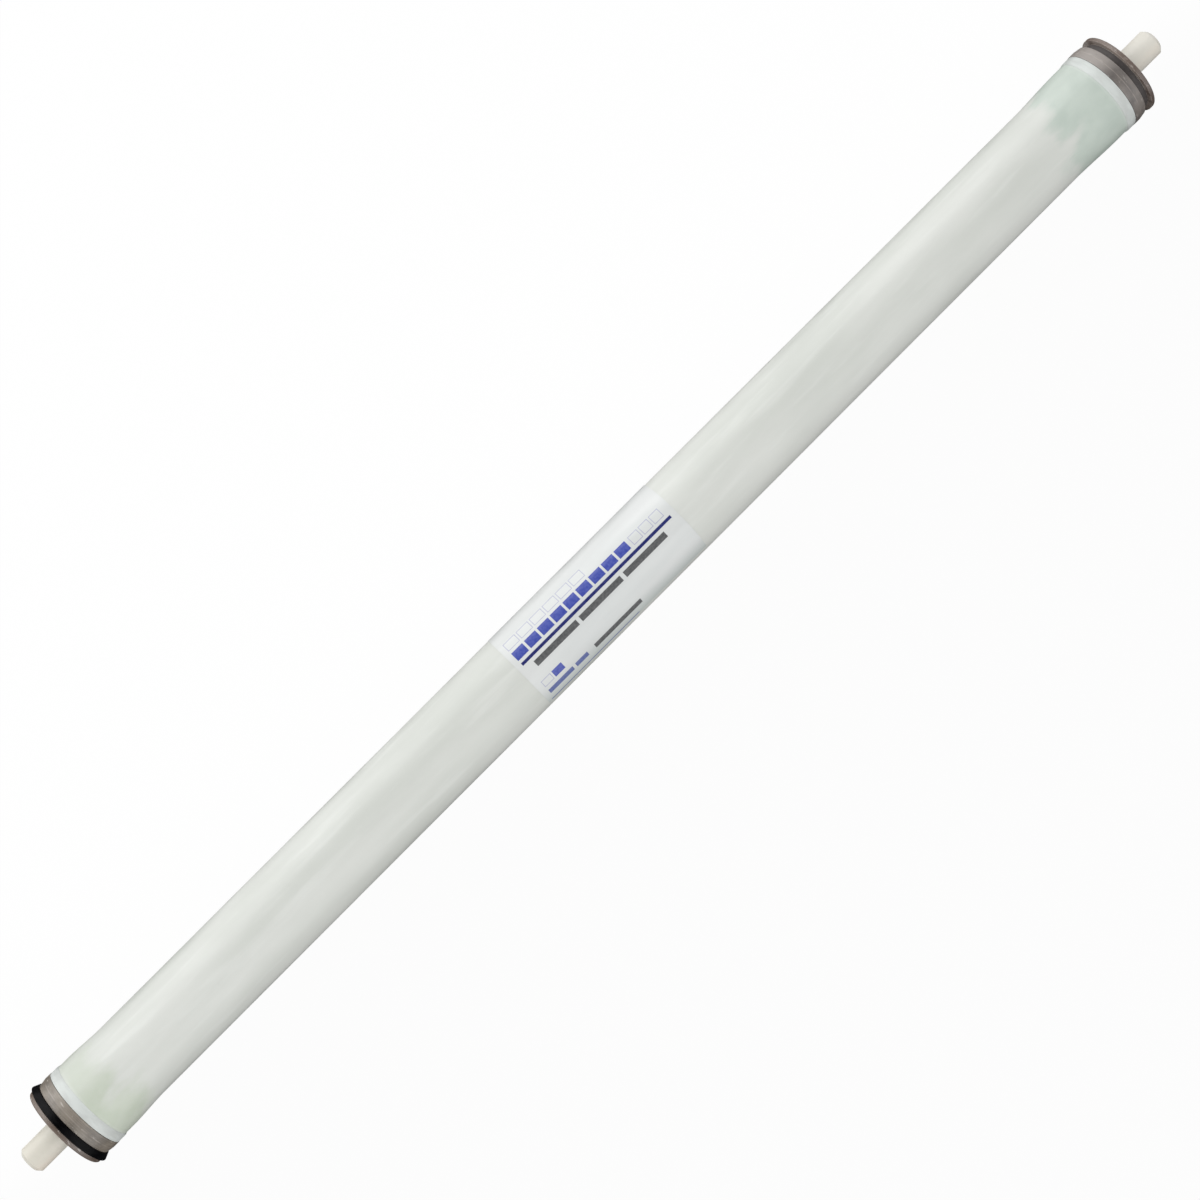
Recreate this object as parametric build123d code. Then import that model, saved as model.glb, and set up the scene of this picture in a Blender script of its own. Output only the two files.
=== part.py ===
from build123d import *
from math import ceil, cos, radians, sin
import os

# A spiral-wound reverse osmosis membrane element, 2.5 in class, 40 in long.
# It lies along X. The origin is on its axis at mid-length, and the feed end is at -X.
# All sizes are in millimetres.

# Product tube, turned down and plain at both ends so that a water fitting slides over it
element_length = 1016.0
tube_od = 19.6
tube_bore = 11.6
tube_end_od = 19.05
tube_step_clearance = 0.5
tube_end_bevel = 2.4
tube_hole = 2.4
tube_hole_stations = 6
tube_hole_pitch = 150.0

# End caps, which keep the roll from telescoping and carry the seal
stub_length = 30.2
cap_od = 60.8
flange_thickness = 3.2
flange_bevel = 0.7
groove_width = 5.2
groove_depth = 3.5
ring_width = 9.6
ring_taper_length = 5.0
ring_taper_drop = 0.8
floor_thickness = 1.4
skirt_length = 14.0
skirt_wall = 1.1
hub_wall = 3.2
web_recess = 2.0
window_rim = 2.5
spoke_count = 8
spoke_width = 2.4

# Lip seal of U section, open towards the feed, its soft lip a little flattened where it lies
seal_lip_reach = 1.9
seal_rest_flat = 0.12
seal_lip_thickness = 1.2
seal_leg_thickness = 1.1
seal_heel_thickness = 1.6
seal_side_clearance = 0.15

# Outer wrap, wound over the roll and the caps' skirts, a little inside the caps' full diameter
wrap_inset = 1.95
wrap_wall = 0.5
feed_flare_length = 28.0
tail_flare_length = 40.0
wrap_end_clearance = 0.1

# White tape round each end of the wrap
tape_width = 7.0
tape_thickness = 0.55

# Label on the wrap
label_length = 141.0
label_centre_x = -3.6
label_thickness = 0.12
label_turn_deg = 181.0
label_centre_deg = 21.5

# Wound sheets, from the tube outwards
leaf_count = 3
carrier_thickness = 0.25
membrane_thickness = 0.15
spacer_thickness = 0.79
arcs_per_turn = 6

# Clearances between pieces that touch
sheet_gap = 0.02
winding_gap = 0.06
round_gap = 0.05
roll_gap = 0.1
roll_end_gap = 0.5

# Radii and stations worked out from the sizes above
tube_r = tube_od / 2
tube_end_r = tube_end_od / 2
core_inner_r = tube_r + round_gap
core_outer_r = core_inner_r + carrier_thickness
cap_r = cap_od / 2
groove_r = cap_r - groove_depth
body_r = cap_r - wrap_inset
roll_r = body_r - wrap_wall - roll_gap
hub_bore_r = tube_r + round_gap
hub_r = hub_bore_r + hub_wall
window_r = groove_r - window_rim
seat_r = roll_r + roll_gap
skirt_r = seat_r + skirt_wall
wrap_end_r = skirt_r + roll_gap + wrap_wall

face_x = element_length / 2 - stub_length
flange_back_x = face_x - flange_thickness
shoulder_x = flange_back_x - groove_width
ring_taper_x = shoulder_x - ring_taper_length
ring_back_x = shoulder_x - ring_width
skirt_tip_x = ring_back_x - skirt_length
web_back_x = shoulder_x - floor_thickness
web_front_x = face_x - web_recess
roll_end_x = web_back_x - roll_end_gap


def on_axis(profile, turn_deg=360):
    """Turn a closed profile of (x, radius) points round the element's axis."""
    return revolve(make_face(Polyline(*profile, close=True)), axis=Axis.X, revolution_arc=turn_deg)


def ring(x_from, x_to, inner_r, thickness, turn_deg=360):
    outer_r = inner_r + thickness
    return on_axis([(x_from, inner_r), (x_to, inner_r), (x_to, outer_r), (x_from, outer_r)], turn_deg)


def permeate_tube():
    """Bored tube with turned and bevelled ends, drilled right through at each station, turn about."""
    half = element_length / 2
    step_x = face_x + tube_step_clearance
    tail_half = [
        (step_x, tube_r),
        (step_x, tube_end_r),
        (half - tube_end_bevel, tube_end_r),
        (half, tube_end_r - tube_end_bevel),
        (half, tube_bore / 2),
    ]
    feed_half = [(-x, r) for x, r in reversed(tail_half)]
    tube = on_axis([*feed_half, *tail_half])
    first_x = -tube_hole_pitch * (tube_hole_stations - 1) / 2
    for station in range(tube_hole_stations):
        drill = Pos(first_x + station * tube_hole_pitch, 0, 0) * Cylinder(tube_hole / 2, 2 * tube_od)
        tube -= Rot(X=90 * (station % 2)) * drill
    return tube


def cap_windows():
    """Openings between the hub, the rim and an even number of spokes."""
    spokes = [Rot(Z=360 / spoke_count * n) * Rectangle(2 * cap_r, spoke_width) for n in range(spoke_count // 2)]
    return Circle(window_r) - Circle(hub_r) - spokes


def end_cap():
    """Cap of the +X end: skirt, ring, seal groove and flange outside, spokes and hub inside."""
    body = on_axis(
        [
            (web_back_x, hub_bore_r),
            (face_x, hub_bore_r),
            (face_x, hub_r),
            (web_front_x, hub_r),
            (web_front_x, window_r),
            (face_x, window_r),
            (face_x, cap_r - flange_bevel),
            (face_x - flange_bevel, cap_r),
            (flange_back_x, cap_r),
            (flange_back_x, groove_r),
            (shoulder_x, groove_r),
            (shoulder_x, cap_r - ring_taper_drop),
            (ring_taper_x, cap_r),
            (ring_back_x, cap_r),
            (ring_back_x, skirt_r),
            (skirt_tip_x, skirt_r),
            (skirt_tip_x, seat_r),
            (web_back_x, seat_r),
        ]
    )
    cutter = extrude(Plane.YZ.offset(web_back_x) * cap_windows(), web_front_x - web_back_x)
    return body - cutter


def brine_seal():
    """Lip seal in the groove of the cap at +X: flat leg inside, flared lip outside, joined by a heel."""
    heel_x = shoulder_x + seal_side_clearance
    leg_tip_x = flange_back_x - seal_side_clearance
    pocket_x = heel_x + seal_heel_thickness
    leg_r = groove_r + round_gap
    lip_r = cap_r + seal_lip_reach
    lip_x = leg_tip_x - seal_lip_thickness / 2
    seal = on_axis(
        [
            (heel_x, leg_r),
            (leg_tip_x, leg_r),
            (leg_tip_x, leg_r + seal_leg_thickness),
            (pocket_x, leg_r + seal_leg_thickness),
            (pocket_x, cap_r - seal_lip_thickness),
            (leg_tip_x, lip_r - seal_lip_thickness),
            (lip_x, lip_r),
            (heel_x, cap_r),
        ]
    )
    under = Box(2 * groove_width, cap_r, seal_lip_reach, align=(Align.CENTER, Align.CENTER, Align.MAX))
    return seal - Pos(lip_x, 0, seal_rest_flat - lip_r) * under


def wrap_half(flare_length):
    """Section of the wrap's +X half, from its inner face over the rim to its outer face."""
    end_x = ring_back_x - wrap_end_clearance
    outer = [(skirt_tip_x - flare_length, body_r), (skirt_tip_x, wrap_end_r), (end_x, wrap_end_r)]
    inner = [(x, r - wrap_wall) for x, r in outer]
    return [*inner, *reversed(outer)]


def outer_wrap():
    """Thin wound wrap: straight over the roll, flared over both skirts up to the caps' rings."""
    feed_half = [(-x, r) for x, r in reversed(wrap_half(feed_flare_length))]
    return on_axis([*wrap_half(tail_flare_length), *feed_half])


def end_tape():
    """Band of white tape wound on the end of the wrap, against the cap's ring."""
    outer_x = ring_back_x - wrap_end_clearance
    return ring(outer_x - tape_width, outer_x, wrap_end_r + round_gap, tape_thickness)


def product_label():
    """Label that follows the straight wrap round a little more than its visible half."""
    x_from = label_centre_x - label_length / 2
    wound = ring(x_from, x_from + label_length, body_r + roll_gap, label_thickness, label_turn_deg)
    return Rot(X=90 - label_centre_deg - label_turn_deg / 2) * wound


# Winding: each sheet follows a spiral of equal arcs, whose centres stand at the corners of a small
# regular polygon. A step is what the radius gains from one arc to the next.
leaf_thickness = carrier_thickness + 2 * membrane_thickness + spacer_thickness + 4 * sheet_gap
winding_step = leaf_count * leaf_thickness / arcs_per_turn
winding_arc_deg = 360 / arcs_per_turn
winding_start_r = core_outer_r + winding_gap
winding_arcs = (roll_r - winding_start_r - leaf_thickness) / winding_step


def winding_centre(arc):
    polygon_r = winding_step / (2 * sin(radians(winding_arc_deg / 2)))
    angle = radians((arc + 0.5) * winding_arc_deg + 90)
    return polygon_r * cos(angle), polygon_r * sin(angle)


def winding_radius(arc, offset):
    return winding_start_r + winding_step / 2 + arc * winding_step + offset


def wound_line(offset):
    """Arcs of one face of a sheet, from the tube outwards, at its offset from the leaf's inner face."""
    arcs = []
    for arc in range(ceil(winding_arcs)):
        turned = min(1, winding_arcs - arc) * winding_arc_deg
        radius = winding_radius(arc, offset)
        arcs.append(CenterArc(winding_centre(arc), radius, arc * winding_arc_deg, turned))
    return arcs


def start_point(offset):
    x, y = winding_centre(0)
    return x + winding_radius(0, offset), y


def wound_sheet(edges, leaf):
    """Full-width sheet with the given section, turned to the place of its leaf."""
    sheet = extrude(Plane.YZ * make_face(edges), roll_end_x, both=True)
    return Rot(X=360 / leaf_count * leaf) * sheet


def plain_sheet(offset, thickness, leaf):
    """Carrier or spacer: one layer, cut square at both edges."""
    inner = wound_line(offset)
    outer = wound_line(offset + thickness)
    ends = [Line(inner[0] @ 0, outer[0] @ 0), Line(inner[-1] @ 1, outer[-1] @ 1)]
    return wound_sheet([*inner, *outer, *ends], leaf)


def folded_membrane(offset, leaf):
    """Membrane sheet folded round the spacer, with its fold at the tube."""
    lower_back = offset
    lower_face = lower_back + membrane_thickness
    upper_face = lower_face + spacer_thickness + 2 * sheet_gap
    upper_back = upper_face + membrane_thickness
    lines = [wound_line(o) for o in (lower_back, lower_face, upper_face, upper_back)]
    ends = [Line(lines[n][-1] @ 1, lines[n + 1][-1] @ 1) for n in (0, 2)]
    folds = []
    for low, high in ((lower_back, upper_back), (lower_face, upper_face)):
        x, y = start_point((low + high) / 2)
        folds.append(ThreePointArc(start_point(low), (x, y - (high - low) / 2), start_point(high)))
    return wound_sheet([edge for line in lines for edge in line] + ends + folds, leaf)


core_carrier = ring(-roll_end_x, roll_end_x, core_inner_r, carrier_thickness)
tail_end_cap = end_cap()
pieces = {
    "permeate_tube": permeate_tube(),
    "core_carrier": core_carrier,
    "feed_end_cap": mirror(tail_end_cap, about=Plane.YZ),
    "tail_end_cap": tail_end_cap,
    "brine_seal": mirror(brine_seal(), about=Plane.YZ),
    "outer_wrap": outer_wrap(),
    "feed_end_tape": mirror(end_tape(), about=Plane.YZ),
    "tail_end_tape": end_tape(),
    "product_label": product_label(),
}
membrane_offset = carrier_thickness + sheet_gap
spacer_offset = membrane_offset + membrane_thickness + sheet_gap
for leaf in range(leaf_count):
    pieces[f"permeate_carrier_{leaf + 1}"] = plain_sheet(0, carrier_thickness, leaf)
    pieces[f"membrane_leaf_{leaf + 1}"] = folded_membrane(membrane_offset, leaf)
    pieces[f"feed_spacer_{leaf + 1}"] = plain_sheet(spacer_offset, spacer_thickness, leaf)

os.makedirs("parts", exist_ok=True)
for name, solid in pieces.items():
    export_step(solid, f"parts/{name}.step")
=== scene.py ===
import bpy
from math import asin, ceil, cos, degrees, radians, sin, tau
from mathutils import Matrix, Vector


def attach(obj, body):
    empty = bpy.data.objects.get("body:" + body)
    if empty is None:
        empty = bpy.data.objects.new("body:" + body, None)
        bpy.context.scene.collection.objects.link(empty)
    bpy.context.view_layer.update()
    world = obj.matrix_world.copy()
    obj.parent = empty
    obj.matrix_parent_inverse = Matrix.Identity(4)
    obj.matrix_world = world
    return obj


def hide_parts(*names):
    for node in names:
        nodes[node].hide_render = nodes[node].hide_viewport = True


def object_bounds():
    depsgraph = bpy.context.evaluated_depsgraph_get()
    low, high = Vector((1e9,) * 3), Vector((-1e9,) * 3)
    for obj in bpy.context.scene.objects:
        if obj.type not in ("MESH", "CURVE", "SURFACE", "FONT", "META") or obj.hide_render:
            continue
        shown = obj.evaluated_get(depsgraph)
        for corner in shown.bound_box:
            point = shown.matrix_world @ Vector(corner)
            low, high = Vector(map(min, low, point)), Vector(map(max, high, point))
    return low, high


# The looks of a spiral-wound reverse osmosis element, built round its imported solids. It lies along X
# on its axis, feed end at -X, and the pieces follow in the order of assembly. Their sizes are in
# millimetres, and places in finishes, on the floor and of lamps are in metres.
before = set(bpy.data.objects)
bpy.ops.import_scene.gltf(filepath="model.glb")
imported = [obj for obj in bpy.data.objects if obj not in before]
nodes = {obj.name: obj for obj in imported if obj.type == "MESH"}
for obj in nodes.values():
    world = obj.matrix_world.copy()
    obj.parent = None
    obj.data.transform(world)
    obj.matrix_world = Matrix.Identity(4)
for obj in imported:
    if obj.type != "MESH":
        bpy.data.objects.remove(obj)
cad_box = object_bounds()
MM = 0.001


# Product water tube: one extruded plastic tube through the whole element, turned down and bevelled at
# both ends, where a fitting with O-rings slides over it. Its drilled holes lie hidden under the roll.
tube_tip = 508.0
tube_r = 9.8
tube_end_r = 9.525
tube_bore_r = 5.8
tube_bevel = 2.4
tube_step = 478.3
tube_edge = 0.25
tube_turns = 192
sharp_angle = radians(32)


def lathe_mesh(name, columns, closed=True):
    """Mesh from columns of (x, y, z) points in millimetres, one column per turn step.

    A closed one goes all the way round, and an open one gets a lid at its first and last column.
    """
    count = len(columns[0])
    points = [[c * MM for c in point] for column in columns for point in column]
    faces = []
    for step in range(len(columns) if closed else len(columns) - 1):
        here, there = step * count, (step + 1) % len(columns) * count
        for n in range(count):
            m = (n + 1) % count
            faces.append((here + n, here + m, there + m, there + n))
    if not closed:
        faces.append(tuple(range(count))[::-1])
        faces.append(tuple(len(points) - count + n for n in range(count)))
    return placed(name, points, faces)


def placed(name, points, faces):
    """Piece made of points in metres, smooth but for its sharp edges."""
    mesh = bpy.data.meshes.new(name)
    mesh.from_pydata(points, [], faces)
    mesh.validate()
    piece = bpy.data.objects.new(name, mesh)
    bpy.context.scene.collection.objects.link(piece)
    bpy.context.view_layer.objects.active = piece
    bpy.ops.object.select_all(action="DESELECT")
    piece.select_set(True)
    bpy.ops.object.mode_set(mode="EDIT")
    bpy.ops.mesh.select_all(action="SELECT")
    bpy.ops.mesh.normals_make_consistent(inside=False)
    bpy.ops.object.mode_set(mode="OBJECT")
    mesh.shade_smooth()
    mesh.set_sharp_from_angle(angle=sharp_angle)
    return piece


def turned(name, profile, steps):
    """Closed profile of (x, radius) turned round the element's axis."""
    angles = [tau * n / steps for n in range(steps)]
    columns = [[(x, r * cos(a), r * sin(a)) for x, r in profile] for a in angles]
    return lathe_mesh(name, columns)


def eased(piece, width):
    """Round the sharp edges of a piece over a width in millimetres."""
    bevel = piece.modifiers.new("eased_edges", "BEVEL")
    bevel.width = width * MM
    bevel.segments = 2
    bevel.limit_method = "ANGLE"
    bevel.angle_limit = sharp_angle
    bevel.harden_normals = True


def fitted(piece, finish, slot, *replaced):
    """Give a piece its finish and fix it to the element, in place of its plain solids if named."""
    piece.data.materials.append(finish)
    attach(piece, "root")
    if replaced:
        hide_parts(*replaced)


def paint(red, green, blue):
    """Colour from screen values of 0 to 255, by the curve that screens use."""
    screen = [c / 255 for c in (red, green, blue)]
    light = [c / 12.92 if c < 0.04045 else ((c + 0.055) / 1.055) ** 2.4 for c in screen]
    return (*light, 1.0)


class Finish:
    """Surface finish made of nodes, in which a field is a number that varies over the surface."""

    def __init__(self, name, **sockets):
        self.material = bpy.data.materials.new(name)
        self.material.use_nodes = True
        self.tree = self.material.node_tree
        self.shader = self.tree.nodes["Principled BSDF"]
        for socket, value in sockets.items():
            self.shader.inputs[socket.replace("_", " ")].default_value = value
        self.place = self.node("ShaderNodeTexCoord").outputs["Object"]
        self.x, self.y = self.node("ShaderNodeSeparateXYZ", {0: self.place}).outputs[:2]

    def node(self, kind, inputs=None, **settings):
        """New node whose inputs are sockets to join or plain values."""
        made = self.tree.nodes.new(kind)
        for name, value in settings.items():
            setattr(made, name, value)
        for socket, value in (inputs or {}).items():
            if isinstance(value, bpy.types.NodeSocket):
                self.tree.links.new(value, made.inputs[socket])
            else:
                made.inputs[socket].default_value = value
        return made

    def math(self, operation, *values):
        return self.node("ShaderNodeMath", dict(enumerate(values)), operation=operation).outputs[0]

    def times(self, field, other):
        return self.math("MULTIPLY", field, other)

    def ramp(self, value, low, high, bottom=0.0, top=1.0):
        """Field that goes smoothly from bottom to top as a value goes from low to high."""
        settings = {0: value, 1: low, 2: high, 3: bottom, 4: top}
        smooth = self.node("ShaderNodeMapRange", settings, interpolation_type="SMOOTHSTEP")
        return smooth.outputs[0]

    def grain(self, along, across, detail=3.0, low=0.35, high=0.65, shift=0.0):
        """Noise of so many cells a metre along the element and across it.

        It is 0 below the noise level low and 1 above high, and a shift takes another part of it.
        """
        spread = {0: self.place, 1: (shift, shift, shift), 3: (along, across, across)}
        where = self.node("ShaderNodeMapping", spread).outputs[0]
        noise = self.node("ShaderNodeTexNoise", {"Vector": where, "Scale": 1.0, "Detail": detail})
        return self.ramp(noise.outputs[0], low, high)

    def blend(self, field, under, over):
        """Colour that goes from one to the other as a field goes from 0 to 1."""
        mix = self.node("ShaderNodeMix", {0: field, 6: under, 7: over}, data_type="RGBA")
        return mix.outputs[2]

    def layer(self, under, field, weight, over):
        """Colour laid thinly over another, where a field says and by a weight at most."""
        return self.blend(self.times(field, weight), under, over)

    def near(self, value, centre, reach):
        """Field that is 1 at a centre and falls to 0 at a reach."""
        away = self.math("ABSOLUTE", self.math("SUBTRACT", value, centre))
        return self.ramp(away, 0.0, reach, 1.0, 0.0)

    def done(self, colour, roughness=None, height=None, depth=0.0):
        """Join the fields to the shader, with a relief of the given depth in millimetres."""
        self.tree.links.new(colour, self.shader.inputs["Base Color"])
        if roughness is not None:
            self.tree.links.new(roughness, self.shader.inputs["Roughness"])
        if height is not None:
            relief = {"Height": height, "Distance": depth * MM, "Strength": 1.0}
            bump = self.node("ShaderNodeBump", relief)
            self.tree.links.new(bump.outputs[0], self.shader.inputs["Normal"])
        return self.material


def tube_finish():
    """Warm white plastic, yellower at the feed end, stained, with fine turning marks."""
    coat = Finish("tube_plastic", Specular_IOR_Level=0.45)
    tone = coat.blend(coat.grain(9, 40), paint(222, 219, 209), paint(230, 227, 219))
    feed_half = coat.ramp(coat.x, -0.1, 0.1, bottom=1.0, top=0.0)
    tone = coat.layer(tone, feed_half, 0.6, paint(213, 209, 195))
    stain = coat.grain(30, 90, detail=5, low=0.5, high=0.75, shift=3.0)
    tone = coat.layer(tone, stain, 0.4, paint(208, 199, 187))
    low_side = coat.ramp(coat.y, -0.009, 0.0, bottom=1.0, top=0.0)
    warm = coat.times(low_side, coat.grain(50, 60, low=0.3, high=0.6, shift=8.0))
    tone = coat.layer(tone, warm, 0.6, paint(230, 218, 203))
    turning = coat.grain(2600, 8, detail=2, low=0.2, high=0.8)
    rough = coat.ramp(coat.grain(60, 200), 0, 1, bottom=0.34, top=0.5)
    return coat.done(tone, rough, turning, 0.012)


half_tube = [
    (tube_step, tube_r),
    (tube_step, tube_end_r),
    (tube_tip - tube_bevel, tube_end_r),
    (tube_tip, tube_end_r - tube_bevel),
    (tube_tip, tube_bore_r),
]
whole_tube = [*((-x, r) for x, r in reversed(half_tube)), *half_tube]
tube = turned("product_tube", whole_tube, tube_turns)
eased(tube, tube_edge)
fitted(tube, tube_finish(), "tube_plastic", "permeate_tube")


# Permeate carriers: knitted polyester sheets that lead the product water to the tube, one turn glued
# round the tube and three long ones wound with the leaves. Only their cut ends show, behind the
# spokes.
leaves = (1, 2, 3)


def carrier_finish():
    knit = Finish("carrier_fabric", Roughness=0.9, Sheen_Weight=0.2)
    loops = knit.grain(1500, 1500, detail=2, low=0.3, high=0.7)
    tone = knit.blend(loops, paint(226, 226, 220), paint(250, 250, 247))
    return knit.done(tone, height=loops, depth=0.06)


def dressed(finish, *names):
    """Give plain solids their finish."""
    for name in names:
        for slot in nodes[name].material_slots:
            slot.material = finish


dressed(carrier_finish(), "core_carrier", *(f"permeate_carrier_{leaf}" for leaf in leaves))


# Membrane leaves: sheets cast on a thin backing, each folded round a feed spacer with its fold at the
# tube, and glued to the carriers on its other face.
def membrane_finish():
    sheet = Finish("membrane_sheet", Specular_IOR_Level=0.4)
    tone = sheet.blend(sheet.grain(300, 700), paint(214, 208, 188), paint(232, 228, 214))
    rough = sheet.ramp(sheet.grain(200, 200), 0, 1, bottom=0.4, top=0.6)
    return sheet.done(tone, rough, sheet.grain(900, 900), 0.02)


dressed(membrane_finish(), *(f"membrane_leaf_{leaf}" for leaf in leaves))


# Feed spacers: extruded nets that hold the two faces of a leaf apart. Cut strands and open cells
# alternate along the edge that shows.
def spacer_finish():
    net = Finish("spacer_net", Specular_IOR_Level=0.5)
    cell = net.node("ShaderNodeTexVoronoi", {"Vector": net.place, "Scale": 520.0})
    strand = net.ramp(cell.outputs["Distance"], 0.25, 0.55, bottom=1.0, top=0.0)
    tone = net.blend(strand, paint(190, 194, 188), paint(240, 243, 240))
    rough = net.ramp(strand, 0, 1, bottom=0.7, top=0.35)
    return net.done(tone, rough, strand, 0.4)


dressed(spacer_finish(), *(f"feed_spacer_{leaf}" for leaf in leaves))


# End caps: taupe mouldings glued on the tube against the roll. Spokes let the water through and keep
# the roll from sliding out, a groove takes the seal, and a skirt grips the roll under the wrap.
cap_face = 477.8
flange_back = 474.6
shoulder = 469.4
ring_taper = 464.4
ring_back = 459.8
skirt_tip = 445.8
web_back = 468.0
web_front = 475.8
cap_r = 30.4
groove_r = 26.9
window_r = 24.4
seat_r = 27.95
skirt_r = 29.05
hub_bore_r = 9.85
hub_r = 13.05
flange_bevel = 0.7
taper_drop = 0.8
cap_edge = 0.28
spokes = 8
spoke_width = 2.4
spoke_steps = 4
window_steps = 20


def cap_outline():
    """Outline of the cap, from the hub's back over hub, rim, groove, ring and skirt to the web."""
    return [
        (web_back, hub_bore_r),
        (cap_face, hub_bore_r),
        (cap_face, hub_r),
        (web_front, hub_r),
        (web_front, window_r),
        (cap_face, window_r),
        (cap_face, cap_r - flange_bevel),
        (cap_face - flange_bevel, cap_r),
        (flange_back, cap_r),
        (flange_back, groove_r),
        (shoulder, groove_r),
        (shoulder, cap_r - taper_drop),
        (ring_taper, cap_r),
        (ring_back, cap_r),
        (ring_back, skirt_r),
        (skirt_tip, skirt_r),
        (skirt_tip, seat_r),
        (web_back, seat_r),
        (web_back, window_r),
        (web_back, hub_r),
    ]


def cap_angles(radius):
    """Turn steps that follow the straight sides of the spokes at a radius."""
    half = asin(spoke_width / 2 / (hub_r if radius <= hub_r else max(window_r, radius)))
    sector = tau / spokes
    angles = []
    for spoke in range(spokes):
        middle = spoke * sector
        angles += [middle - half + 2 * half * n / spoke_steps for n in range(spoke_steps)]
        opening = sector - 2 * half
        angles += [middle + half + opening * n / window_steps for n in range(window_steps)]
    return angles


def end_cap(name, side):
    """Cap turned from its outline, with the faces left out where the water passes."""
    outline = cap_outline()
    count = len(outline)
    sector_steps = spoke_steps + window_steps
    steps = spokes * sector_steps
    rows = [cap_angles(r) for x, r in outline]
    points = []
    for step in range(steps):
        for row, (x, r) in zip(rows, outline):
            angle = row[step]
            points.append((side * x * MM, r * cos(angle) * MM, r * sin(angle) * MM))
    front_hub, front_rim = 3, 4
    back_rim, back_hub = count - 2, count - 1
    faces = []
    for step in range(steps):
        here, there = step * count, (step + 1) % steps * count
        place = step % sector_steps
        opening = place >= spoke_steps
        for n in range(count):
            m = (n + 1) % count
            if opening and n in (front_hub, back_rim):
                continue
            faces.append((here + n, here + m, there + m, there + n))
        if opening:
            for front, back in ((front_hub, back_hub), (front_rim, back_rim)):
                faces.append((here + front, here + back, there + back, there + front))
        if place in (0, spoke_steps):
            faces.append((here + front_hub, here + front_rim, here + back_rim, here + back_hub))
    cap = placed(name, points, faces)
    eased(cap, cap_edge)
    return cap


def cap_finish(name, tone, pale, dust, scuffed):
    """Moulded plastic with fine turned rings, painted lit and shaded in streaks, a warmer flange
    painted darker towards -Y, worn edges with painted highlight lines, painted shade in the groove, a
    paler +Y side that is part dust and part painted highlight, and whitish scuffs.
    """
    shell = Finish(name, Specular_IOR_Level=1.0, Coat_Weight=0.7, Coat_Roughness=0.5)
    reach = shell.math("ABSOLUTE", shell.x)
    dust_and_highlight_tone = paint(*(c + 34 for c in pale))
    lit_tone = paint(*(c + 30 for c in pale))
    shade_tone = paint(*(c * 0.6 for c in tone))

    base = shell.blend(shell.grain(90, 70, detail=5), paint(*tone), paint(*pale))
    # Dust and painted highlight: a pale mottled layer on the lit +Y side, weighted by dust.
    lit_side = shell.ramp(shell.y, -0.004, 0.016)
    dust_and_highlight = shell.times(lit_side, shell.grain(60, 50, detail=4, low=0.15, high=0.55, shift=3.0))
    base = shell.layer(base, dust_and_highlight, dust, dust_and_highlight_tone)
    rings = shell.grain(2400, 3, detail=2, low=0.35, high=0.7)
    lit = shell.times(rings, shell.grain(70, 50, low=0.4, high=0.7, shift=11.0))
    base = shell.layer(base, lit, 0.62, lit_tone)
    dark_rings = shell.grain(1500, 4, detail=2, low=0.45, high=0.75, shift=6.0)
    shade = shell.times(dark_rings, shell.grain(90, 60, detail=4, low=0.45, high=0.7, shift=7.0))
    base = shell.layer(base, shade, 0.68, shade_tone)

    # The flange is warmer brown, with painted shade that darkens it towards -Y.
    flange = shell.ramp(reach, (flange_back - 0.3) * MM, flange_back * MM)
    flange_lit_side = shell.ramp(shell.y, -0.02, 0.004)
    flange_shaded_tone = shell.blend(flange_lit_side, paint(72, 50, 36), paint(96, 75, 61))
    base = shell.layer(base, flange, 0.82, flange_shaded_tone)

    scuff = shell.times(shell.grain(520, 210, detail=4, low=0.6, high=0.72, shift=2.0), scuffed)
    base = shell.blend(scuff, base, paint(206, 200, 192))
    # Worn edges with painted highlight: patchy pale lines along the rim, flange, shoulder and taper
    # edges.
    corners = (cap_face, flange_back, shoulder, ring_taper)
    edges = [shell.near(reach, corner * MM, 0.45 * MM) for corner in corners]
    wear_and_highlight = edges[0]
    for edge in edges[1:]:
        wear_and_highlight = shell.math("MAXIMUM", wear_and_highlight, edge)
    wear_and_highlight = shell.times(wear_and_highlight, shell.grain(300, 120, detail=4, low=0.3, high=0.55, shift=5.0))
    base = shell.layer(base, wear_and_highlight, 0.5, paint(176, 165, 156))

    # Painted shade: the groove between shoulder and flange is painted near black and made rough.
    groove_shade = shell.ramp(reach, (shoulder + 0.05) * MM, (shoulder + 0.4) * MM)
    groove_shade = shell.times(groove_shade, shell.math("SUBTRACT", 1.0, flange))
    base = shell.layer(base, groove_shade, 0.88, paint(38, 29, 29))
    rough = shell.ramp(shell.grain(500, 120, detail=4), 0, 1, bottom=0.45, top=0.62)
    rough = shell.math("MAXIMUM", rough, shell.times(groove_shade, 0.9))
    return shell.done(base, rough, shell.math("ADD", rings, scuff), 0.02)


# The dust weight sets each cap's pale mottled +Y side, part dust and part painted highlight.
feed_plastic = cap_finish(
    "feed_cap_plastic", (84, 75, 64), (122, 112, 99), dust=0.12, scuffed=0.6
)
fitted(end_cap("feed_cap", -1), feed_plastic, "cap_plastic", "feed_end_cap")
# On the tail cap that pale +Y side is mostly painted highlight.
tail_plastic = cap_finish(
    "tail_cap_plastic", (79, 73, 69), (116, 108, 102), dust=0.85, scuffed=0.3
)
fitted(end_cap("tail_cap", 1), tail_plastic, "cap_plastic", "tail_end_cap")


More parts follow.
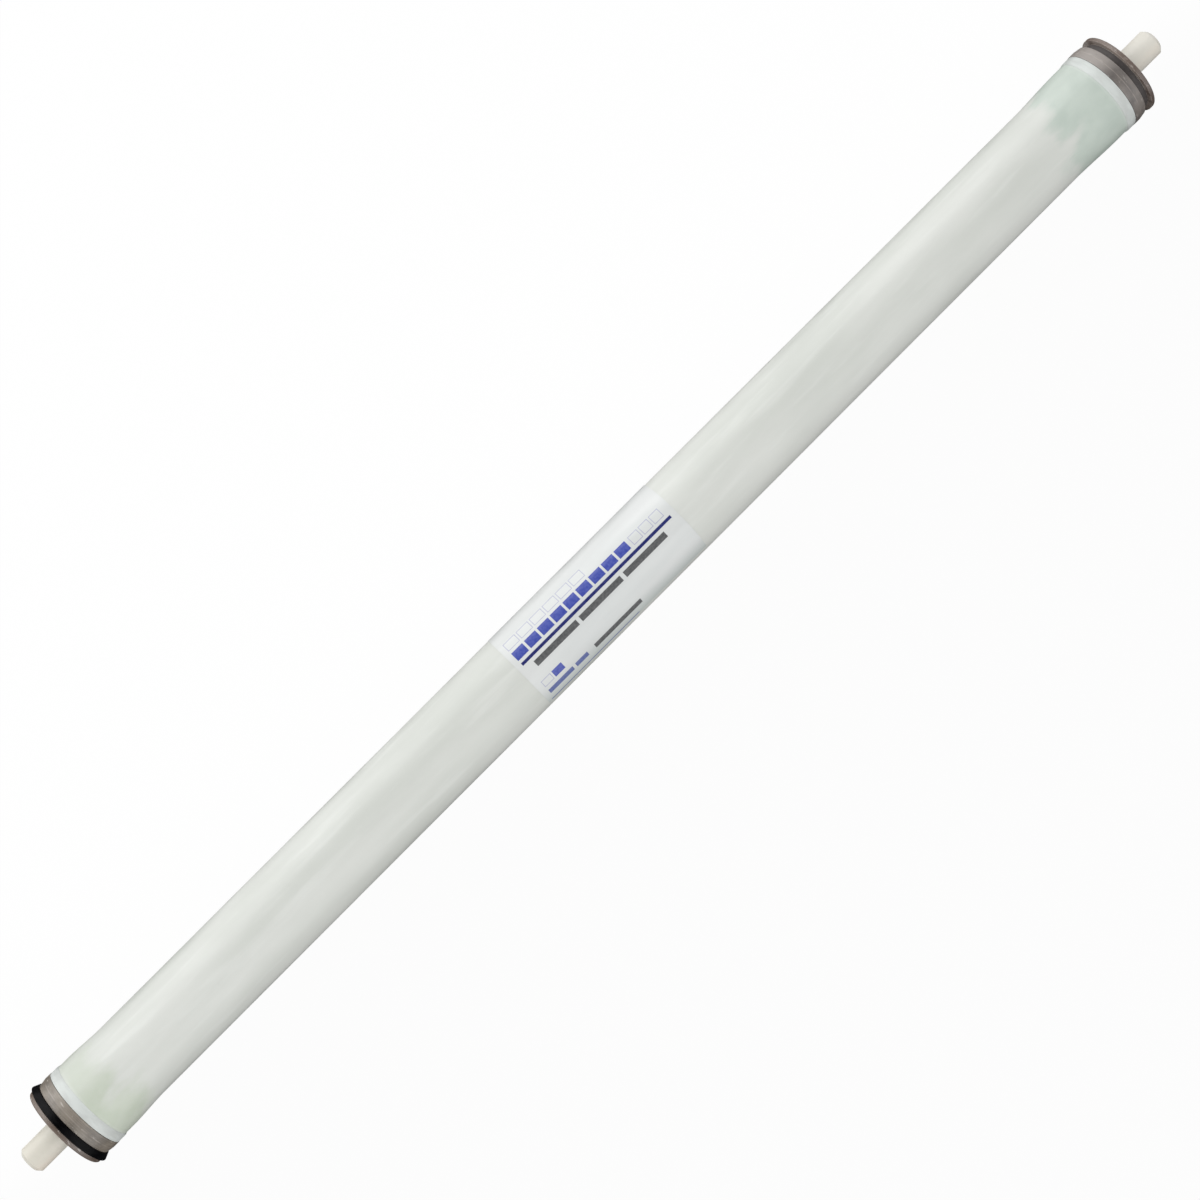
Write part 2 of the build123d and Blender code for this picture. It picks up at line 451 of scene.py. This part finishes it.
# Outer wrap: thin plastic film wound tight over the finished roll and both skirts, and bonded to
# them. It swells a little at the caps, because the skirts stand out from the roll.
wrap_wall = 0.5
wrap_r = 28.45
wrap_end_r = 29.65
wrap_end = 459.7
feed_flare = 28.0
tail_flare = 40.0
flare_steps = 16
wrap_stations = 48
wrap_turns = 256
wrap_dip = 0.04
tape_width = 7.0


def wrap_radius(x):
    """Outer radius of the wrap: straight over the roll, eased into the larger ends."""
    flare = feed_flare if x < 0 else tail_flare
    share = min(1.0, max(0.0, (abs(x) - skirt_tip + flare) / flare))
    smooth = share * share * (3 - 2 * share)
    return wrap_r + (wrap_end_r - wrap_r) * smooth


def wrap_hollow(x, turn):
    """Slight unevenness of the wound film, which only ever dips below its full radius."""
    slow = sin(x * 0.021 + 2 * sin(turn)) * sin(x * 0.0087 + 1.3 + cos(2 * turn))
    return wrap_dip * (1 + slow)


def outer_wrap():
    """Film wound round the roll, in columns that go out along it and back inside."""
    steps_out = [n / flare_steps for n in range(flare_steps + 1)]
    feed_side = [-skirt_tip + feed_flare * share for share in steps_out]
    tail_side = [skirt_tip - tail_flare * (1 - share) for share in steps_out]
    run = tail_side[0] - feed_side[-1]
    straight = [feed_side[-1] + run * n / wrap_stations for n in range(1, wrap_stations)]
    stations = [-wrap_end, *feed_side, *straight, *tail_side, wrap_end]
    columns = []
    for step in range(wrap_turns):
        turn = tau * step / wrap_turns
        column = [(x, wrap_radius(x) - wrap_hollow(x, turn)) for x in stations]
        column += [(x, wrap_radius(x) - wrap_wall) for x in reversed(stations)]
        columns.append([(x, r * cos(turn), r * sin(turn)) for x, r in column])
    return lathe_mesh("wound_wrap", columns)


def wrap_finish():
    """Pale film with clouds and wisps along it, greener where it lies over the skirts but less green
    towards +Y, a painted highlight of the lit top side.
    """
    film = Finish("wrap_film", Specular_IOR_Level=0.35, Coat_Weight=0.2, Coat_Roughness=0.25)
    reach = film.math("ABSOLUTE", film.x)
    tail_half = film.ramp(film.x, -0.1, 0.1)
    clouds = film.grain(7, 34, detail=5, low=0.3, high=0.7)
    tone = film.blend(clouds, paint(205, 208, 202), paint(216, 218, 213))
    wisps = film.grain(16, 150, detail=4, low=0.5, high=0.75, shift=4.0)
    tone = film.layer(tone, wisps, 0.35, paint(228, 230, 226))

    blotch = film.times(film.grain(30, 70, low=0.3, high=0.7, shift=9.0), 0.022)
    start = film.ramp(film.x, -0.1, 0.1, bottom=0.418, top=0.402)
    past_start = film.math("SUBTRACT", film.math("ADD", reach, blotch), start)
    over_skirt = film.ramp(past_start, 0.012, 0.034)
    # Painted highlight: the green over the skirts fades towards the lit +Y side.
    fading = film.ramp(film.x, -0.1, 0.1, bottom=0.5, top=0.85)
    over_skirt = film.times(over_skirt, film.ramp(film.y, -0.004, 0.024, bottom=0.95, top=fading))
    patches = film.grain(60, 90, detail=4, low=0.3, high=0.7, shift=5.0)
    feed_green = film.blend(patches, paint(191, 200, 183), paint(200, 207, 193))
    tail_green = film.blend(patches, paint(185, 197, 188), paint(194, 205, 196))
    tone = film.blend(over_skirt, tone, film.blend(tail_half, feed_green, tail_green))

    beside_tape = film.near(reach, (wrap_end - tape_width) * MM, 2.4 * MM)
    beside_tape = film.times(beside_tape, film.grain(150, 60, low=0.25, high=0.6, shift=14.0))
    tone = film.layer(tone, beside_tape, 0.35, paint(220, 224, 220))
    rough = film.ramp(film.grain(30, 120, detail=4), 0, 1, bottom=0.36, top=0.5)
    return film.done(tone, rough, film.grain(12, 60), 0.05)


fitted(outer_wrap(), wrap_finish(), "wrap_film", "outer_wrap")


# White tape: a few turns of vinyl tape over each end of the wrap, close against the cap's ring. Its
# turns don't lie quite edge to edge, and its free end shows as a small step.
tape_layer = 0.16
tape_seat_r = 29.7
tape_top_r = 30.25
tape_offset = 0.12
tape_thin_edge = 0.05
tape_turn_ends = (1.5, 0.8, 0.3)
tape_steps = 240
tape_span = radians(359.2)


def tape_band(name, side, free_end):
    """Band whose outer turn ends at an angle, so its radius grows by one layer on the way round."""
    outer = wrap_end
    inner = wrap_end - tape_width
    top_end, middle_end, first_end = (inner + short for short in tape_turn_ends)
    columns = []
    for step in range(tape_steps + 1):
        turn = radians(free_end) + tape_span * step / tape_steps
        top = tape_top_r - tape_layer * (1 - step / tape_steps)
        column = [
            (outer, tape_seat_r),
            (outer, top - 2 * tape_layer),
            (outer - tape_offset, top - 2 * tape_layer),
            (outer - tape_offset, top),
            (top_end, top),
            (middle_end, top - tape_layer),
            (first_end, tape_seat_r + tape_offset),
            (inner, tape_seat_r + tape_thin_edge),
            (inner, tape_seat_r),
        ]
        columns.append([(side * x, r * cos(turn), r * sin(turn)) for x, r in column])
    return lathe_mesh(name, columns)


def tape_finish():
    vinyl = Finish("white_tape", Specular_IOR_Level=0.4, Coat_Weight=0.1, Coat_Roughness=0.25)
    tone = vinyl.blend(vinyl.grain(200, 60, detail=4), paint(197, 201, 198), paint(209, 214, 211))
    grime = vinyl.grain(500, 90, detail=5, low=0.55, high=0.75, shift=6.0)
    tone = vinyl.layer(tone, grime, 0.4, paint(188, 190, 184))
    rough = vinyl.ramp(vinyl.grain(120, 90), 0, 1, bottom=0.3, top=0.46)
    return vinyl.done(tone, rough, vinyl.grain(300, 80), 0.04)


white_tape = tape_finish()
feed_tape = tape_band("feed_tape", -1, free_end=250)
fitted(feed_tape, white_tape, "white_tape", "feed_end_tape")
tail_tape = tape_band("tail_tape", 1, free_end=205)
fitted(tail_tape, white_tape, "white_tape", "tail_end_tape")


# Brine seal: moulded rubber cup of U section in the groove of the feed cap. Its lip opens towards the
# feed, presses on the wall of the pressure vessel, and is a little flattened where the element lies.
seal_heel = 469.55
seal_tip = 474.45
seal_pocket = 471.15
seal_leg_r = 26.95
seal_leg = 1.1
seal_lip_r = 32.3
seal_lip = 1.2
seal_flat = 0.12
seal_edge = 0.2
seal_steps = 224


def seal_finish():
    rubber = Finish("seal_rubber", Specular_IOR_Level=0.1)
    tone = rubber.blend(rubber.grain(300, 120, detail=4), paint(3, 3, 4), paint(8, 8, 11))
    dust = rubber.grain(700, 260, detail=6, low=0.6, high=0.75, shift=8.0)
    tone = rubber.layer(tone, dust, 0.18, paint(56, 55, 58))
    rough = rubber.ramp(rubber.grain(400, 90), 0, 1, bottom=0.28, top=0.42)
    return rubber.done(tone, rough, rubber.grain(1200, 600), 0.02)


seal_section = [
    (-seal_heel, seal_leg_r),
    (-seal_tip, seal_leg_r),
    (-seal_tip, seal_leg_r + seal_leg),
    (-seal_pocket, seal_leg_r + seal_leg),
    (-seal_pocket, cap_r - seal_lip),
    (-seal_tip, seal_lip_r - seal_lip),
    (-seal_tip + seal_lip / 2, seal_lip_r),
    (-seal_heel, cap_r),
]
seal_floor = seal_flat - seal_lip_r
seal_columns = []
for step in range(seal_steps):
    turn = tau * step / seal_steps
    seal_columns.append([(x, r * cos(turn), max(r * sin(turn), seal_floor)) for x, r in seal_section])
seal = lathe_mesh("lip_seal", seal_columns)
eased(seal, seal_edge)
fitted(seal, seal_finish(), "seal_rubber", "brine_seal")


# Label: white film stuck on the wrap at mid-length, round a little more than half of it, and printed
# with plain boxes, blocks, bars and a rule.
label_from = -74.1
label_to = 66.9
label_turn_from = -22.0
label_turn_to = 159.0
label_in_r = 28.55
label_out_r = 28.67
print_in_r = 28.675
print_out_r = 28.69
print_rim = 0.45
patch_turn = 1.5


def block_row(x_from, x_to, turn_from, turn_to, count, gap):
    """Equal blocks side by side, each as (x from, x to, turn from, turn to)."""
    width = (x_to - x_from - gap * (count - 1)) / count
    starts = [x_from + n * (width + gap) for n in range(count)]
    return [(x, x + width, turn_from, turn_to) for x in starts]


def outlined(blocks):
    """Four thin strips round each block."""
    rim = print_rim
    rim_turn = degrees(rim / print_out_r)
    marks = []
    for x_from, x_to, turn_from, turn_to in blocks:
        inner_from = turn_from + rim_turn
        inner_to = turn_to - rim_turn
        marks.append((x_from, x_to, turn_from, inner_from))
        marks.append((x_from, x_to, inner_to, turn_to))
        marks.append((x_from, x_from + rim, inner_from, inner_to))
        marks.append((x_to - rim, x_to, inner_from, inner_to))
    return marks


outline_print = [
    *outlined(block_row(-70.0, -2.0, 46.5, 60.2, 6, 1.4)),
    *outlined(block_row(33.2, 59.6, 64.6, 78.6, 3, 1.4)),
    *outlined([(-69.4, -61.3, 118.0, 128.8)]),
]
blue_print = [
    *block_row(-70.0, 30.5, 64.8, 78.4, 9, 1.7),
    (-60.0, -51.6, 118.0, 128.8),
]
rule_print = [(-70.0, 62.3, 82.9, 87.0)]
dark_print = [
    (-63.4, -26.3, 92.2, 100.6),
    (-23.6, 12.8, 92.2, 100.6),
    (15.7, 52.2, 92.2, 100.6),
    (-28.7, 12.6, 135.6, 143.4),
]
pale_blue_print = [
    (-69.4, -48.0, 135.6, 143.4),
    (-45.6, -35.0, 135.6, 143.4),
    (-71.3, 6.9, 155.2, 157.0),
]


def curved_patch(x_from, x_to, turn_from, turn_to, inner, outer):
    """Columns of a thin patch that lies round the wrap."""
    span = turn_to - turn_from
    steps = max(2, ceil(span / patch_turn))
    angles = [radians(turn_from + span * n / steps) for n in range(steps + 1)]
    corners = [(x_from, inner), (x_to, inner), (x_to, outer), (x_from, outer)]
    return [[(x, r * cos(a), r * sin(a)) for x, r in corners] for a in angles]


def label_finish():
    paper = Finish("label_stock", Coat_Weight=0.3, Coat_Roughness=0.2, Specular_IOR_Level=0.4)
    tone = paper.blend(paper.grain(10, 60, detail=4), paint(211, 214, 213), paint(219, 221, 220))
    # Painted shade: the film goes darker and grey-green towards its -Y edge.
    low_side = paper.ramp(paper.y, -0.028, -0.019, bottom=1.0, top=0.0)
    tone = paper.layer(tone, low_side, 0.6, paint(184, 194, 190))
    rough = paper.ramp(paper.grain(40, 90), 0, 1, bottom=0.3, top=0.42)
    return paper.done(tone, rough, paper.grain(40, 120), 0.03)


def ink_finish(name, tone):
    """Printed field, a little uneven where the film shows through."""
    ink = Finish(name, Coat_Weight=0.2)
    thin = (c * 0.9 + 26 for c in tone)
    colour = ink.blend(ink.grain(600, 600, detail=4), paint(*tone), paint(*thin))
    return ink.done(colour, ink.ramp(ink.grain(200, 200), 0, 1, bottom=0.36, top=0.46))


def print_piece(name, marks, finish):
    """All marks of one ink, as thin closed patches on the label in one mesh."""
    points, faces = [], []
    for mark in marks:
        columns = curved_patch(*mark, print_in_r, print_out_r)
        start = len(points)
        points += [[c * MM for c in point] for column in columns for point in column]
        for step in range(len(columns) - 1):
            here = start + step * 4
            for n in range(4):
                m = (n + 1) % 4
                faces.append((here + n, here + m, here + m + 4, here + n + 4))
        faces.append((start + 3, start + 2, start + 1, start))
        end = start + (len(columns) - 1) * 4
        faces.append((end, end + 1, end + 2, end + 3))
    fitted(placed(name, points, faces), finish, "label_stock")


label_area = (label_from, label_to, label_turn_from, label_turn_to)
label = lathe_mesh("element_label", curved_patch(*label_area, label_in_r, label_out_r), closed=False)
fitted(label, label_finish(), "label_stock", "product_label")
print_piece("label_outlined_boxes", outline_print, ink_finish("lilac_ink", (170, 172, 196)))
print_piece("label_blue_blocks", blue_print, ink_finish("blue_ink", (50, 66, 162)))
print_piece("label_rule", rule_print, ink_finish("deep_blue_ink", (22, 30, 104)))
print_piece("label_dark_bars", dark_print, ink_finish("dark_ink", (84, 85, 86)))
print_piece("label_pale_blue_bars", pale_blue_print, ink_finish("pale_blue_ink", (92, 104, 158)))


# Floor: plain white, just under the seal's lip. It shows white to the camera and in reflections, and
# keeps a soft shadow. Three dark cards, which only reflections meet, stand for the dark part of a
# studio: two lie along the element and darken its edges, and one hangs over the camera.
floor_z = cad_box[0][2] - 0.1 * MM
floor_reach = 5.0
floor_glow = 0.97
floor_pale = 0.85
floor_dim = 0.22
floor_strip = 0.02
card_height = floor_z + 0.3 * MM
card_length = 1.6
card_reach = 0.56
card_from = 0.02
edge_card_reach = 0.07
edge_card_from = 0.03
canopy_length = 6.0
canopy_height = 2.5
canopy_from = -1.3
canopy_to = 2.3


def studio_plane(name, width, depth, place, finish):
    bpy.ops.mesh.primitive_plane_add(size=1, location=place)
    plane = bpy.context.object
    plane.name = name
    plane.scale = (width, depth, 1)
    plane.data.materials.append(finish)
    return plane


def shown_white(tree):
    """Socket that is 1 where the camera, a reflection or a clear piece looks at a surface."""
    path = tree.nodes.new("ShaderNodeLightPath")
    seen = path.outputs["Is Camera Ray"]
    for ray in ("Is Glossy Ray", "Is Transmission Ray"):
        either = tree.nodes.new("ShaderNodeMath")
        either.operation = "MAXIMUM"
        tree.links.new(seen, either.inputs[0])
        tree.links.new(path.outputs[ray], either.inputs[1])
        seen = either.outputs[0]
    return seen


def floor_finish():
    """White to the camera, and as it lights the element, darker on the -Y side."""
    ground = bpy.data.materials.new("floor_white")
    ground.use_nodes = True
    tree = ground.node_tree
    tree.nodes.clear()
    lit = tree.nodes.new("ShaderNodeBsdfDiffuse")
    where = tree.nodes.new("ShaderNodeSeparateXYZ")
    strip = tree.nodes.new("ShaderNodeMapRange")
    strip_values = {
        "From Min": -floor_strip,
        "From Max": floor_strip,
        "To Min": floor_dim,
        "To Max": floor_pale,
    }
    for socket, value in strip_values.items():
        strip.inputs[socket].default_value = value
    geometry = tree.nodes.new("ShaderNodeNewGeometry")
    tree.links.new(geometry.outputs["Position"], where.inputs[0])
    tree.links.new(where.outputs["Y"], strip.inputs["Value"])
    tree.links.new(strip.outputs[0], lit.inputs["Color"])
    glow = tree.nodes.new("ShaderNodeEmission")
    share = tree.nodes.new("ShaderNodeMath")
    share.operation = "MULTIPLY"
    share.inputs[1].default_value = floor_glow
    mix = tree.nodes.new("ShaderNodeMixShader")
    out = tree.nodes.new("ShaderNodeOutputMaterial")
    tree.links.new(shown_white(tree), share.inputs[0])
    tree.links.new(share.outputs[0], mix.inputs[0])
    tree.links.new(lit.outputs[0], mix.inputs[1])
    tree.links.new(glow.outputs[0], mix.inputs[2])
    tree.links.new(mix.outputs[0], out.inputs[0])
    return ground


studio_plane("floor", 2 * floor_reach, 2 * floor_reach, (0, 0, floor_z), floor_finish())

black = bpy.data.materials.new("dark_card")
black.use_nodes = True
black_shader = black.node_tree.nodes["Principled BSDF"]
black_shader.inputs["Base Color"].default_value = (0.02, 0.02, 0.02, 1)
black_shader.inputs["Roughness"].default_value = 1.0

card_place = (0, -card_from - card_reach / 2, card_height)
edge_card_place = (0, edge_card_from + edge_card_reach / 2, card_height)
canopy_place = (0, (canopy_from + canopy_to) / 2, canopy_height)
cards = [
    studio_plane("dark_card", card_length, card_reach, card_place, black),
    studio_plane("dark_edge_card", card_length, edge_card_reach, edge_card_place, black),
    studio_plane("dark_canopy", canopy_length, canopy_to - canopy_from, canopy_place, black),
]
for card in cards:
    card.visible_camera = False
    card.visible_shadow = False
    card.visible_diffuse = False


# Light: an even white room, a wide soft lamp beside the element on its +Y side, and a weaker one
# across from it.
room_level = 0.7
world = bpy.data.worlds.new("white_room")
bpy.context.scene.world = world
world.use_nodes = True
room = world.node_tree
room_light = room.nodes["Background"]
room_light.inputs["Color"].default_value = (1, 1, 1, 1)
shown_level = room.nodes.new("ShaderNodeMapRange")
shown_level.inputs["To Min"].default_value = room_level
shown_level.inputs["To Max"].default_value = 1.0
room.links.new(shown_white(room), shown_level.inputs["Value"])
room.links.new(shown_level.outputs[0], room_light.inputs["Strength"])


def soft_lamp(name, place, width, height, power):
    """Lamp turned to the middle of the element, with its width along it."""
    lamp = bpy.data.lights.new(name, "AREA")
    lamp.shape = "RECTANGLE"
    lamp.size = width
    lamp.size_y = height
    lamp.energy = power
    stand = bpy.data.objects.new(name, lamp)
    back = Vector(place).normalized()
    side = Vector((1, 0, 0))
    facing = Matrix((side, back.cross(side), back)).transposed().to_4x4()
    stand.matrix_world = Matrix.Translation(place) @ facing
    bpy.context.scene.collection.objects.link(stand)


soft_lamp("near_softbox", (-0.22, 1.9, 0.85), width=2.8, height=1.7, power=26.0)
soft_lamp("far_softbox", (-0.6, -1.8, 1.3), width=3.2, height=2.2, power=20.5)


# Camera: looks straight down from 1.66 m through a long lens, turned so that the element lies from
# corner to corner with its tail end at the upper right.
camera_place = Vector((-106.4, 0.0, 1660.35)) * MM
camera_target = Vector((-4.9, -3.4, 0.0)) * MM
focal_to_frame = 2603.9 / 1200
camera_data = bpy.data.cameras.new("camera")
camera_data.sensor_width = 36.0
camera_data.lens = focal_to_frame * camera_data.sensor_width
camera = bpy.data.objects.new("camera", camera_data)
bpy.context.scene.collection.objects.link(camera)
backward = (camera_place - camera_target).normalized()
along = (Vector((1, 0, 0)) - backward * backward.x).normalized()
across = backward.cross(along)
right = (along - across).normalized()
up = (along + across).normalized()
turn = Matrix((right, up, backward)).transposed().to_4x4()
camera.matrix_world = Matrix.Translation(camera_place) @ turn
bpy.context.scene.camera = camera

bpy.context.scene.view_settings.view_transform = "Standard"
